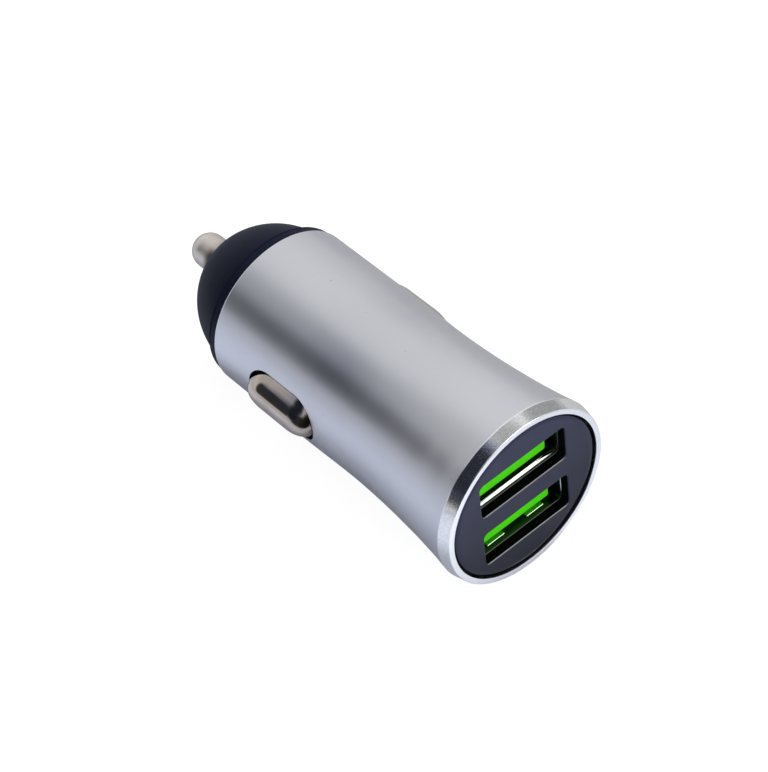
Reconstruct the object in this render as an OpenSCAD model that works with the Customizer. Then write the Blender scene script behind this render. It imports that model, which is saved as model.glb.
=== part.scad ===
// Car charger plug with two ports.
// All lengths are millimetres. The charger's axis is Y: the ports face -Y and the nose points to +Y.
// The origin is on the axis, where the flared front ends and the straight neck begins.
// The ports' slots run along X, and the two side contacts stand out at -X and +X.

/* [Rim] */
// Width of the rim round the mouth that holds the face plate
rim_w = 0.74; // [0.5:0.01:0.9]
// Width of the ledge behind the face plate
plate_ledge = 0.6; // [0.4:0.01:0.9]
// Length of the polished bevel behind the front edge
bevel_len = 1.6; // [1:0.1:2.2]
// How far the back edge of the bevel, where the barrel is widest, lies outside the rim
bevel_rise = 0.32; // [0.2:0.01:0.6]
// Length of the widest part, between the bevel and the flare
bevel_land = 0.1; // [0.05:0.05:0.5]

/* [Barrel] */
// Length of the flared front, from the front edge to the neck
flare_len = 20; // [19.5:0.1:24]
// How far the neck, which the mouth of a vehicle's socket closes round, lies below the barrel
neck_drop = 0.2; // [0.1:0.01:0.3]
// Length of the neck
neck_len = 3.8; // [3:0.1:6]
// Length of the ramp from the neck to the barrel
ramp_len = 0.5; // [0.3:0.1:1]
// Thickness of the barrel's wall behind the neck
barrel_wall = 1.05; // [0.9:0.01:1.2]
// Space between the bore and the corners of the port shells
port_space = 0.304; // [0.25:0.001:0.45]
// Length of the wider bore
front_bore_len = 4.6; // [3:0.1:6]
// Length of the taper between the two bores
bore_taper_len = 4; // [2:0.1:5]
// Bevel of the barrel's rear edge
edge_break = 0.15; // [0.05:0.01:0.3]

/* [Face plate] */
// Width of the plate outside the corners of its slots
plate_border = 1.754; // [1.5:0.001:2]
// Depth of the plate's front below the rim
plate_recess = 0.2; // [0:0.05:0.6]
// Thickness of the plate
plate_t = 2.2; // [1.6:0.1:3]
// Thickness of the lip that covers the front edges of the steel port shells
plate_lip = 1.2; // [0.6:0.05:1.5]
// Radius of the plate's soft front edge
plate_edge_r = 0.5; // [0.2:0.05:0.9]

/* [Ports] */
// Distance between the middles of the two ports
port_pitch = 8.06; // [7.9:0.01:8.2]
// Width inside a port's steel shell
port_w = 12.5; // [12.2:0.05:12.6]
// Height inside a port's steel shell
port_h = 4.9; // [4.7:0.05:5.1]
// Corner radius inside a port's steel shell
port_corner_r = 0.5; // [0.3:0.05:0.8]
// Thickness of the steel
port_wall = 0.3; // [0.2:0.05:0.35]
// Length of the steel shell
port_depth = 13.1; // [12:0.1:15]
// Width of steel edge that shows all round inside the plate's slot
slot_reveal = 0.13; // [0.05:0.01:0.2]
// Width of the tongue
tongue_w = 10.3; // [10:0.1:11.6]
// Thickness of the tongue
tongue_t = 1.84; // [1.6:0.02:2]
// Space below the tongue
tongue_lift = 0.7; // [0.4:0.05:0.8]
// Depth of the tongue's front below the front of the plate
tongue_recess = 2.05; // [1.4:0.05:2.6]
// Length of the block that closes the port's rear
block_len = 4; // [3:0.1:5]
// Width of one contact strip
strip_w = 1; // [0.6:0.05:1.2]
// Thickness of a contact strip
strip_t = 0.25; // [0.15:0.05:0.4]
// Distance of the outer strips from the middle
outer_strip_x = 3.5; // [3.2:0.1:4]
// Distance of the inner strips from the middle
inner_strip_x = 1; // [0.8:0.05:1.3]
// Distance from the tongue's front to the strips
strip_setback = 1; // [0.5:0.1:2]
// Length of the strips' tails behind the port board
tail_len = 0.8; // [0.4:0.1:1.2]

/* [Side contacts] */
// Length of the barrel in front of a contact's window, behind the ramp
window_land = 0.3; // [0.2:0.1:1.5]
// Length of the window, whose ends are half circles
window_len = 11.2; // [10:0.1:12.5]
// Width of the window
window_w = 6.6; // [6:0.1:7]
// Space between a contact and the edge of its window
contact_gap = 0.45; // [0.3:0.05:0.6]
// How far the crown of a contact stands out of the barrel at rest
contact_stand = 1.5; // [1.1:0.01:1.6]
// Radius of the crown's edge
crown_edge_r = 2.2; // [1.6:0.1:2.4]
// Thickness of the contact's pressed sheet
contact_sheet = 0.4; // [0.3:0.05:0.5]
// Width of the flange that keeps a contact inside the barrel
flange_lip = 0.45; // [0.3:0.05:0.6]
// Distance from the bore to the underside of the flange
flange_depth = 1.15; // [1:0.01:1.3]
// How far a contact is pressed in by a socket
contact_travel = 1.55; // [1:0.05:1.6]
// Mean radius of the spring behind a contact
contact_spring_r = 1.4; // [1:0.05:1.6]
// Wire diameter of that spring
contact_wire = 0.4; // [0.3:0.05:0.5]
// Turns of that spring
contact_turns = 5; // [4:0.5:6]

/* [Contact carrier] */
// Thickness of the carrier's end walls
carrier_wall = 0.9; // [0.6:0.1:1.4]
// Thickness of the floor between a contact's pocket and the hollow for the main board
carrier_floor = 0.5; // [0.3:0.05:0.8]
// Thickness of the carrier above and below that hollow
carrier_roof = 2.7; // [2.4:0.05:3]
// Thickness of a ground strap
strap_t = 0.25; // [0.15:0.05:0.3]
// Half the width of a ground strap
strap_half_w = 1.9; // [1.85:0.05:2.5]
// Length of the strap's tab along the board
strap_tab_len = 1.6; // [1:0.1:2]
// How far the tab reaches over the board
strap_tab_reach = 1.1; // [0.6:0.1:1.6]

/* [Nose] */
// How far the black collar against the barrel's rear edge lies below the barrel
collar_drop = 0.2; // [0.05:0.01:0.4]
// Length of the collar
collar_len = 1.4; // [1:0.1:2]
// How far the base of the dome lies inside the collar
dome_step = 0.71; // [0.4:0.01:1]
// Length of the dome from the middle of its arc to its tip
dome_len = 10.8; // [10:0.1:12]
// Distance from the barrel's rear edge to the middle of the dome's arc
dome_start = 0.45; // [0:0.05:1]
// Thickness of the dome's wall
dome_wall = 1.6; // [1.2:0.1:2]
// Length of the guide for the tip at the front of the nose
tip_guide_len = 2; // [1.6:0.1:2.6]

/* [Tip] */
// Radius of the centre contact
tip_r = 2.25; // [2:0.05:2.5]
// How far the centre contact stands out of the dome's tip
tip_reach = 4.55; // [4:0.05:5.5]
// Radius of the flange that keeps it in the nose
tip_flange_r = 3.3; // [3:0.05:3.35]
// Thickness of that flange
tip_flange_t = 1; // [0.8:0.1:1.4]
// Radius of the peg inside the spring
tip_peg_r = 1.5; // [1.2:0.05:1.7]
// Length of that peg
tip_peg_len = 1.5; // [1:0.1:2]
// How far the centre contact is pressed in by a socket
tip_travel = 3; // [2:0.1:3.2]
// Mean radius of the spring behind the centre contact
tip_spring_r = 2.3; // [2.15:0.05:2.5]
// Wire diameter of that spring
tip_wire = 0.5; // [0.4:0.05:0.6]
// Turns of that spring
tip_turns = 7; // [5:1:8]
// Radius of the spring's metal seat
seat_r = 3; // [2.9:0.05:3.4]
// Thickness of the seat
seat_t = 0.6; // [0.4:0.1:0.8]
// Distance from the barrel's rear edge inwards to the face that carries the spring
seat_depth = 3.2; // [2.8:0.1:3.6]
// Thickness of the seat's two tabs
tab_t = 0.3; // [0.2:0.05:0.4]
// Half the width of the tabs
tab_half_w = 1.2; // [0.8:0.1:1.6]
// Length of the tabs along the board
tab_len = 3.2; // [2.4:0.1:3.6]

/* [Boards] */
// Thickness of both boards
board_t = 1.2; // [0.8:0.1:1.4]
// Half the distance between the outer edges of the two link tabs
link_tab_x = 5; // [4:0.1:5.6]
// Width of a link tab
link_tab_w = 3; // [2:0.1:3.4]
// How far a link tab stands in front of the port board
link_tab_out = 0.4; // [0.2:0.1:0.8]
// How far the main board in front of the carrier lies inside the port board's edge
board_step = 0.85; // [0.6:0.05:2]

/* [Components] */
// Space between neighbouring components
part_space = 0.6; // [0.4:0.05:0.7]
// Space between the last component and the tabs of the centre contact's spring seat
tab_space = 1.25; // [0.8:0.05:2]
// Side of the power inductor
inductor_w = 6; // [5:0.1:6.4]
// Height of the power inductor
inductor_h = 3.8; // [3:0.1:4.4]
// Radius of the round core inside the inductor's frame
inductor_core_r = 2.5; // [2:0.05:2.6]
// Width of the groove round the core
inductor_groove_w = 0.25; // [0.15:0.05:0.3]
// Depth of that groove
inductor_groove_depth = 0.4; // [0.2:0.1:1]
// Radius of the two electrolytic capacitors
cap_r = 3.15; // [2.5:0.05:3.2]
// Height of the two electrolytic capacitors
cap_h = 5.4; // [4.4:0.1:5.6]
// Thickness of the capacitors' square base
cap_base_t = 0.8; // [0.5:0.1:1]
// Length of the controller chip
chip_len = 4.9; // [4:0.1:5.1]
// Width of the controller chip
chip_w = 3.9; // [3.6:0.1:4.2]
// Height of the controller chip
chip_h = 1.5; // [1.2:0.1:1.8]
// Space between the chip's body and the board
chip_standoff = 0.1; // [0.05:0.05:0.15]
// Length of a chip's leg beyond its body
leg_len = 1.05; // [0.8:0.05:1.2]
// Width of a chip's leg
leg_w = 0.42; // [0.3:0.02:0.6]
// Distance between neighbouring legs
leg_pitch = 1.27; // [1:0.01:1.3]
// Thickness of a chip's leg where it lies on the board
leg_t = 0.2; // [0.15:0.05:0.3]
// Height at which the legs leave the chip's body
leg_h = 0.8; // [0.6:0.05:1]
// Length of the diode, across the board
diode_len = 4.4; // [4:0.1:5]
// Width of the diode, along the board
diode_w = 2.6; // [2.2:0.1:2.8]
// Height of the diode
diode_h = 2.2; // [1.8:0.1:2.4]
// Length of the fuse, across the board
fuse_len = 4.5; // [4:0.1:5]
// Width of the fuse, along the board
fuse_w = 3; // [2.5:0.1:3.2]
// Height of the fuse
fuse_h = 1.4; // [1:0.1:1.8]
// Length of the metal ends of the diode and the fuse
end_len = 0.55; // [0.4:0.05:0.8]
// Distance from the sides of the diode and the fuse to those of their ends
end_inset = 0.3; // [0.1:0.05:0.5]
// Height of the ends
end_h = 0.7; // [0.4:0.05:0.9]
// Size of a ceramic capacitor along the board
ceramic_w = 1.25; // [1:0.05:1.4]
// Size of a ceramic capacitor across the board
ceramic_len = 2; // [1.6:0.05:2.2]
// Height of a ceramic capacitor
ceramic_h = 1.2; // [0.8:0.05:1.4]
// Distance between neighbouring ceramic capacitors
ceramic_pitch = 3; // [2.5:0.1:3.4]

/* [Clearances] */
// Space round the face plate
plate_gap = 0.12; // [0.05:0.01:0.2]
// Space between pieces that are pushed together, such as the spigot and the bore
push_gap = 0.05; // [0.02:0.01:0.08]
// Space round a piece that slides
slide_gap = 0.08; // [0.05:0.01:0.1]
// Space round a piece that is only guided, such as a board in its carrier
loose_gap = 0.1; // [0.05:0.01:0.15]
// Space round a side contact's flange, which slides in its pocket
pocket_gap = 0.15; // [0.1:0.01:0.2]
// Space between the port board and the bore
board_gap = 0.15; // [0.1:0.01:0.2]
// Space at each end of a spring
spring_gap = 0.02; // [0.01:0.01:0.05]
// Space between the closed turns at a spring's ends
turn_gap = 0.02; // [0.01:0.01:0.05]

/* [Hidden] */
$fn = 96;
// The flare's arc is large, so it takes more segments than the rest
flare_fn = 1440;
// Length that a cutting shape runs past the material
past = 1;

// Places along the axis at the front
front_y = -flare_len;
plate_front_y = front_y + plate_recess;
plate_back_y = plate_front_y + plate_t;
port_front_y = plate_front_y + plate_lip;
port_back_y = port_front_y + port_depth;
tongue_front_y = plate_front_y + tongue_recess;

// Radii from the two ports outwards. A port's corner is round, and its centre lies corner_away from the axis
port_z = port_pitch / 2;
slot_w = port_w + 2 * slot_reveal;
slot_h = port_h + 2 * slot_reveal;
corner_away = norm([port_w / 2 - port_corner_r, port_z + port_h / 2 - port_corner_r]);
bore_r = corner_away + port_corner_r + port_wall + port_space;
barrel_r = bore_r + barrel_wall;
neck_r = barrel_r - neck_drop;
plate_r = corner_away + port_corner_r + slot_reveal + plate_border;
mouth_r = plate_r + plate_gap;
front_bore_r = mouth_r - plate_ledge;
rim_r = mouth_r + rim_w;
bevel_r = rim_r + bevel_rise;
// Height of the tongue's underside above the middle of its port
tongue_under = tongue_lift - port_h / 2;

// The flare is one arc that ends flush with the neck
flare_rise = bevel_r - neck_r;
flare_run = flare_len - bevel_len - bevel_land;
flare_arc_r = (flare_run * flare_run + flare_rise * flare_rise) / (2 * flare_rise);

// Boards
port_board_y1 = port_back_y + board_t;
port_board_r = bore_r - board_gap;
board_front_x = port_board_r - board_step;
top_z = board_t / 2;
tails_y = port_board_y1 + tail_len;

// Components stand one behind the other from the port board's tails to the spring seat's tabs
inductor_y = tails_y + part_space + inductor_w / 2;
input_cap_y = inductor_y + inductor_w / 2 + part_space + cap_r;
fuse_y = input_cap_y + cap_r + part_space + fuse_w / 2;
chip_y = tails_y + part_space + chip_len / 2;
diode_y = chip_y + chip_len / 2 + part_space + diode_w / 2;
output_cap_y = diode_y + diode_w / 2 + part_space + cap_r;
ceramic_y = output_cap_y + cap_r + part_space + ceramic_w / 2;
last_part_y = max(fuse_y + fuse_w / 2, ceramic_y + ceramic_w / 2);

// The spring seat stands behind the last component, and the barrel ends a little further back
seat_y0 = last_part_y + tab_space + tab_len;
seat_y1 = seat_y0 + seat_t;
barrel_end_y = seat_y1 + seat_depth;

// Places along the axis at the side contacts
window_y0 = neck_len + ramp_len + window_land;
window_y1 = window_y0 + window_len;
window_y = (window_y0 + window_y1) / 2;
// Distance from the window's middle to the centre of each round end
window_end = (window_len - window_w) / 2;
pocket_y0 = window_y0 - flange_lip - pocket_gap;
pocket_y1 = window_y1 + flange_lip + pocket_gap;
carrier_y0 = pocket_y0 - carrier_wall;
carrier_y1 = pocket_y1 + carrier_wall;
pocket_half_w = window_w / 2 + flange_lip + pocket_gap;

// The floor of a side contact's pocket lies under the strap, clear of the pressed flange
contact_reach = barrel_r + contact_stand;
flange_seat = bore_r - flange_depth;
strap_top = flange_seat - contact_travel - pocket_gap;
pocket_floor = strap_top - strap_t;
guide_r = bore_r - loose_gap;
carrier_hollow_x = pocket_floor - carrier_floor;
carrier_hollow_z = guide_r - carrier_roof;
board_x = carrier_hollow_x - loose_gap;
strap_tab_y1 = pocket_y1 - pocket_gap;
strap_tab_y0 = strap_tab_y1 - strap_tab_len;

// The spring's last turn meets the rounded edge inside the crown
hollow_edge_r = crown_edge_r - contact_sheet;
crown_flat = window_w / 2 - contact_gap - crown_edge_r;
spring_past_flat = max(0, contact_spring_r + contact_wire / 2 - crown_flat);
spring_top = contact_reach - crown_edge_r + sqrt(pow(hollow_edge_r, 2) - pow(spring_past_flat, 2));

// The dome is one arc whose centre lies beyond the axis
collar_r = barrel_r - collar_drop;
dome_r = collar_r - dome_step;
dome_y = barrel_end_y + dome_start;
dome_arc_r = (dome_len * dome_len + dome_r * dome_r) / (2 * dome_r);
dome_arc_x = dome_r - dome_arc_r;
dome_cavity_r = dome_r - dome_wall;

// Centre contact, from its round end inwards
tip_end_y = dome_y + dome_len + tip_reach;
tip_bore_r = tip_r + slide_gap;
chamber_r = tip_flange_r + loose_gap;
guide_front_y = dome_y + sqrt(pow(dome_arc_r, 2) - pow(tip_bore_r - dome_arc_x, 2));
tip_stop_y = guide_front_y - tip_guide_len;
tip_seat_y = tip_stop_y - tip_flange_t;

// Colours as seen
aluminium = [0.72, 0.73, 0.78];
nickel = [0.74, 0.71, 0.70];
steel = [0.80, 0.81, 0.82];
dark_plastic = [0.21, 0.22, 0.27];
nose_plastic = [0.13, 0.14, 0.19];
lime = [0.25, 0.84, 0.02];
brass = [0.85, 0.66, 0.32];
board_green = [0.05, 0.33, 0.18];
part_black = [0.10, 0.10, 0.11];
ferrite = [0.30, 0.30, 0.32];
ceramic_tan = [0.66, 0.55, 0.42];
carrier_grey = [0.35, 0.36, 0.38];

// Turns an outline of [radius, place along the axis] round the charger's axis
module turned() {
    rotate([-90, 0, 0]) rotate_extrude() children();
}

// Runs an outline of [x, z] along the axis from y_from to y_to
module along_y(y_from, y_to) {
    translate([0, y_to, 0]) rotate([90, 0, 0]) linear_extrude(height = y_to - y_from) children();
}

// Runs an outline of [y, z] sideways from x_from to x_to
module along_x(x_from, x_to) {
    translate([x_from, 0, 0]) rotate([90, 0, 90]) linear_extrude(height = x_to - x_from) children();
}

// Rectangle with round corners about the origin
module round_rect(w, h, r) {
    square([w - 2 * r, h], center = true);
    square([w, h - 2 * r], center = true);
    for (x = [-1, 1], y = [-1, 1])
        translate([x * (w / 2 - r), y * (h / 2 - r)]) circle(r = r);
}

// Block between two corners
module block(from, to) {
    translate(from) cube(to - from);
}

// Block that stands on the main board's upper face (side 1) or lower face (side -1)
module on_board(side, x, y, w, len, from_h, to_h) {
    z_from = side * (top_z + from_h);
    z_to = side * (top_z + to_h);
    block([x - w / 2, y - len / 2, min(z_from, z_to)], [x + w / 2, y + len / 2, max(z_from, z_to)]);
}

// Round post on the main board
module post_on_board(side, y, r, from_h, to_h) {
    z_from = side * (top_z + from_h);
    z_to = side * (top_z + to_h);
    translate([0, y, min(z_from, z_to)]) cylinder(r = r, h = abs(z_to - z_from));
}

// Coil spring along Z from 0 to length, with one closed turn at each end
module coil_spring(mean_r, wire, length, turns) {
    sides = 8;
    steps = 16;
    rings = turns * steps;
    closed = wire + turn_gap;
    rise = (length - wire - 2 * closed) / (turns - 2);
    height = function(t) wire / 2 + closed * min(t, 1) + rise * max(0, min(t, turns - 1) - 1)
        + closed * max(0, t - turns + 1);
    ring = function(i) let (
        t = i / steps,
        a = 360 * t,
        out = [cos(a), sin(a), 0]
    ) [for (k = [0 : sides - 1]) let (b = 360 * k / sides)
        [0, 0, height(t)] + out * (mean_r + wire / 2 * cos(b)) + [0, 0, wire / 2 * sin(b)]];
    points = [for (i = [0 : rings]) each ring(i)];
    skin = [for (i = [0 : rings - 1], k = [0 : sides - 1])
        let (next = (k + 1) % sides)
        each [
            [i * sides + k, i * sides + next, (i + 1) * sides + next],
            [i * sides + k, (i + 1) * sides + next, (i + 1) * sides + k]
        ]];
    start_cap = [[for (k = [sides - 1 : -1 : 0]) k]];
    end_cap = [[for (k = [0 : sides - 1]) rings * sides + k]];
    polyhedron(points = points, faces = concat(skin, start_cap, end_cap));
}

// Outline of the barrel's solid wall, as [radius, place along the axis]
module barrel_outline() {
    difference() {
        polygon([
            [rim_r, front_y],
            [bevel_r, front_y + bevel_len],
            [bevel_r, 0],
            [neck_r, 0],
            [neck_r, neck_len],
            [barrel_r, neck_len + ramp_len],
            [barrel_r, barrel_end_y - edge_break],
            [barrel_r - edge_break, barrel_end_y],
            [bore_r, barrel_end_y],
            [bore_r, plate_back_y + front_bore_len + bore_taper_len],
            [front_bore_r, plate_back_y + front_bore_len],
            [front_bore_r, plate_back_y],
            [mouth_r, plate_back_y],
            [mouth_r, front_y]
        ]);
        intersection() {
            translate([neck_r + flare_arc_r, 0]) circle(r = flare_arc_r, $fn = flare_fn);
            translate([neck_r, front_y]) square([flare_arc_r, flare_len]);
        }
    }
}

// Outline of a side contact's window, as [y, z], grown by the given amount
module window_outline(grow) {
    end_r = window_w / 2 + grow;
    translate([window_y, 0]) {
        square([2 * window_end, 2 * end_r], center = true);
        for (end = [-1, 1]) translate([end * window_end, 0]) circle(r = end_r);
    }
}

module barrel_shell() {
    color(aluminium) difference() {
        turned() barrel_outline();
        for (side = [0, 1]) mirror([side, 0, 0]) along_x(bore_r / 2, barrel_r + past) window_outline(0);
    }
}

module face_plate() {
    color(dark_plastic) difference() {
        turned() {
            translate([0, plate_front_y]) square([plate_r - plate_edge_r, plate_t]);
            translate([0, plate_front_y + plate_edge_r]) square([plate_r, plate_t - plate_edge_r]);
            translate([plate_r - plate_edge_r, plate_front_y + plate_edge_r]) circle(r = plate_edge_r);
        }
        for (z = [-port_z, port_z]) translate([0, 0, z]) {
            along_y(plate_front_y - past, plate_back_y + past)
                round_rect(slot_w, slot_h, port_corner_r + slot_reveal);
            along_y(port_front_y, plate_back_y + past)
                port_outline(port_wall + push_gap);
        }
    }
}

// Outline of the inside of a port, as [x, z], grown by the given amount
module port_outline(grow) {
    round_rect(port_w + 2 * grow, port_h + 2 * grow, port_corner_r + grow);
}

module port_shell(z) {
    color(steel) translate([0, 0, z]) along_y(port_front_y, port_back_y) difference() {
        port_outline(port_wall);
        port_outline(0);
    }
}

// The four contact strips of a port, flush with the tongue's top and grown by the given amount
module strips(z, grow) {
    strip_top = z + tongue_under + tongue_t;
    for (x = [-outer_strip_x, -inner_strip_x, inner_strip_x, outer_strip_x])
        block(
            [x - strip_w / 2 - grow, tongue_front_y + strip_setback - grow, strip_top - strip_t - grow],
            [x + strip_w / 2 + grow, tails_y + grow, strip_top + grow]
        );
}

module port_insulator(z) {
    color(lime) difference() {
        union() {
            translate([0, 0, z]) along_y(port_back_y - block_len, port_back_y) port_outline(-push_gap);
            block(
                [-tongue_w / 2, tongue_front_y, z + tongue_under],
                [tongue_w / 2, port_back_y, z + tongue_under + tongue_t]
            );
        }
        strips(z, push_gap);
    }
}

module port_strips(z) {
    color(brass) strips(z, 0);
}

module port_board() {
    color(board_green) difference() {
        turned() translate([0, port_back_y]) square([port_board_r, board_t]);
        for (z = [-port_z, port_z]) strips(z, loose_gap);
        for (side = [-1, 1]) link_tab(side, loose_gap);
    }
}

// Tab of the main board that stands in a slot of the port board, grown by the given amount
module link_tab(side, grow) {
    middle_x = side * (link_tab_x - link_tab_w / 2);
    block(
        [middle_x - link_tab_w / 2 - grow, port_back_y - link_tab_out - grow, -top_z - grow],
        [middle_x + link_tab_w / 2 + grow, port_board_y1 + grow, top_z + grow]
    );
}

module main_board() {
    color(board_green) {
        block([-board_front_x, port_board_y1, -top_z], [board_front_x, carrier_y0, top_z]);
        block([-board_x, port_board_y1, -top_z], [board_x, seat_y0, top_z]);
        for (side = [-1, 1]) link_tab(side, 0);
    }
}

// Half of the crown's cross-section, as [distance from its middle, distance from the charger's axis]
module crown_half(inset) {
    reach = contact_reach - inset;
    half_w = window_w / 2 - contact_gap - inset;
    edge_r = crown_edge_r - inset;
    translate([0, flange_seat]) square([half_w - edge_r, reach - flange_seat]);
    translate([0, flange_seat]) square([half_w, reach - edge_r - flange_seat]);
    translate([half_w - edge_r, reach - edge_r]) intersection() {
        circle(r = edge_r);
        square(edge_r);
    }
}

// Pill-shaped crown of a side contact on the +X side, made smaller all round by the given amount
module crown(inset) {
    for (side = [0, 1])
        along_y(window_y - window_end, window_y + window_end)
            mirror([0, side]) mirror([1, -1]) crown_half(inset);
    for (end = [-1, 1])
        translate([0, window_y + end * window_end, 0]) rotate([0, 90, 0]) rotate_extrude() crown_half(inset);
}

// Side contact on the +X side: a hollow crown with a flange that rests against the bore
module side_contact() {
    color(nickel) difference() {
        union() {
            crown(0);
            intersection() {
                along_x(flange_seat, bore_r) window_outline(flange_lip);
                turned() translate([0, window_y0 - past]) square([bore_r - push_gap, window_len + 2 * past]);
            }
        }
        crown(contact_sheet);
        along_x(flange_seat - past, flange_seat + contact_sheet) window_outline(-contact_gap - contact_sheet);
    }
}

module contact_spring() {
    color(steel) translate([strap_top + spring_gap, window_y, 0]) rotate([0, 90, 0])
        coil_spring(contact_spring_r, contact_wire, spring_top - strap_top - 2 * spring_gap, contact_turns);
}

// Ground strap on the +X side, grown by the given amount: a strip under the spring and a tab on the board
module strap_shape(grow) {
    block(
        [pocket_floor - grow, pocket_y0 + pocket_gap - grow, -strap_half_w - grow],
        [strap_top + grow, pocket_y1 - pocket_gap + grow, strap_half_w + grow]
    );
    block(
        [board_x - strap_tab_reach - grow, strap_tab_y0 - grow, top_z - grow],
        [strap_top + grow, strap_tab_y1 + grow, top_z + strap_t + grow]
    );
}

module ground_strap() {
    color(brass) strap_shape(0);
}

module contact_carrier() {
    color(carrier_grey) difference() {
        turned() translate([0, carrier_y0]) square([guide_r, carrier_y1 - carrier_y0]);
        block(
            [-carrier_hollow_x, carrier_y0 - past, -carrier_hollow_z],
            [carrier_hollow_x, carrier_y1 + past, carrier_hollow_z]
        );
        for (side = [0, 1]) mirror([side, 0, 0]) {
            block([pocket_floor, pocket_y0, -pocket_half_w], [guide_r + past, pocket_y1, pocket_half_w]);
            block(
                [carrier_hollow_x - past, strap_tab_y0 - loose_gap, top_z - loose_gap],
                [pocket_floor + past, strap_tab_y1 + loose_gap, top_z + strap_t + loose_gap]
            );
        }
    }
}

// Arc of the dome, as [radius, place along the axis], made smaller by the given amount
module dome_outline(inset, y_from, y_to) {
    intersection() {
        translate([dome_arc_x, dome_y]) circle(r = dome_arc_r - inset, $fn = 360);
        translate([0, y_from]) square([dome_r, y_to - y_from]);
    }
}

module nose_cap() {
    color(nose_plastic) turned() difference() {
        union() {
            dome_outline(0, dome_y, dome_y + dome_len);
            translate([0, barrel_end_y]) square([dome_r, dome_y - barrel_end_y]);
            translate([0, barrel_end_y]) square([collar_r, collar_len]);
            translate([0, carrier_y1]) square([bore_r - push_gap, barrel_end_y - carrier_y1]);
        }
        dome_outline(dome_wall, dome_y, tip_stop_y);
        translate([0, carrier_y1 - past]) square([dome_cavity_r, dome_y - carrier_y1 + past]);
        translate([0, dome_y]) square([chamber_r, tip_stop_y - dome_y]);
        translate([0, dome_y]) square([tip_bore_r, dome_len]);
    }
}

module tip_contact() {
    color(nickel) turned() {
        intersection() {
            translate([0, tip_end_y - tip_r]) circle(r = tip_r);
            translate([0, tip_end_y - tip_r]) square([tip_r, tip_r]);
        }
        translate([0, tip_seat_y]) square([tip_r, tip_end_y - tip_r - tip_seat_y]);
        translate([0, tip_seat_y]) square([tip_flange_r, tip_flange_t]);
        translate([0, tip_seat_y - tip_peg_len]) square([tip_peg_r, tip_peg_len]);
    }
}

module tip_spring() {
    color(steel) translate([0, seat_y1 + spring_gap, 0]) rotate([-90, 0, 0])
        coil_spring(tip_spring_r, tip_wire, tip_seat_y - seat_y1 - 2 * spring_gap, tip_turns);
}

module tip_spring_seat() {
    color(brass) {
        turned() translate([0, seat_y0]) square([seat_r, seat_t]);
        for (side = [-1, 1])
            on_board(side, 0, seat_y1 - (tab_len + seat_t) / 2, 2 * tab_half_w, tab_len + seat_t, 0, tab_t);
    }
}

module power_inductor() {
    groove_floor = inductor_h - inductor_groove_depth;
    color(ferrite) difference() {
        on_board(1, 0, inductor_y, inductor_w, inductor_w, 0, inductor_h);
        difference() {
            post_on_board(
                1, inductor_y, inductor_core_r + inductor_groove_w, groove_floor, inductor_h + past
            );
            post_on_board(1, inductor_y, inductor_core_r, 0, inductor_h);
        }
    }
}

// Electrolytic can on a square base
module can_capacitor(side, y) {
    color(steel) {
        on_board(side, 0, y, 2 * cap_r, 2 * cap_r, 0, cap_base_t);
        post_on_board(side, y, cap_r, cap_base_t, cap_h);
    }
}

module controller_chip() {
    color(part_black) {
        on_board(-1, 0, chip_y, chip_w, chip_len, chip_standoff, chip_h);
        for (i = [-1.5 : 1 : 1.5], side = [-1, 1]) {
            leg_y = chip_y + i * leg_pitch;
            on_board(-1, side * (chip_w + leg_len) / 2, leg_y, leg_len, leg_w, 0, leg_t);
            on_board(-1, side * (chip_w + leg_len / 2) / 2, leg_y, leg_len / 2, leg_w, 0, leg_h);
        }
    }
}

// Moulded body with a metal end that wraps down at each end
module two_ended_part(side, y, len, w, h) {
    on_board(side, 0, y, len - 2 * end_len, w, 0, h);
    for (end = [-1, 1])
        on_board(side, end * (len - end_len) / 2, y, end_len, w - 2 * end_inset, 0, end_h);
}

module rectifier_diode() {
    color(part_black) two_ended_part(-1, diode_y, diode_len, diode_w, diode_h);
}

module board_fuse() {
    color(ceramic_tan) two_ended_part(1, fuse_y, fuse_len, fuse_w, fuse_h);
}

module ceramic_capacitors() {
    color(ceramic_tan) for (i = [-1 : 1])
        on_board(-1, i * ceramic_pitch, ceramic_y, ceramic_len, ceramic_w, 0, ceramic_h);
}

barrel_shell();
face_plate();
nose_cap();
tip_contact();
tip_spring();
tip_spring_seat();
mirror([1, 0, 0]) side_contact();  // left_contact
side_contact();  // right_contact
mirror([1, 0, 0]) contact_spring();  // left_contact_spring
contact_spring();  // right_contact_spring
mirror([1, 0, 0]) ground_strap();  // left_ground_strap
ground_strap();  // right_ground_strap
contact_carrier();
port_shell(port_z);  // upper_port_shell
port_shell(-port_z);  // lower_port_shell
port_insulator(port_z);  // upper_port_insulator
port_insulator(-port_z);  // lower_port_insulator
port_strips(port_z);  // upper_port_strips
port_strips(-port_z);  // lower_port_strips
port_board();
main_board();
power_inductor();
can_capacitor(1, input_cap_y);  // input_capacitor
can_capacitor(-1, output_cap_y);  // output_capacitor
controller_chip();
rectifier_diode();
board_fuse();
ceramic_capacitors();
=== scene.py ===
"""Looks for the car charger plug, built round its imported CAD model. Lengths are metres."""

import math

import bmesh
import bpy
from mathutils import Matrix, Vector
from mathutils.geometry import tessellate_polygon


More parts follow.
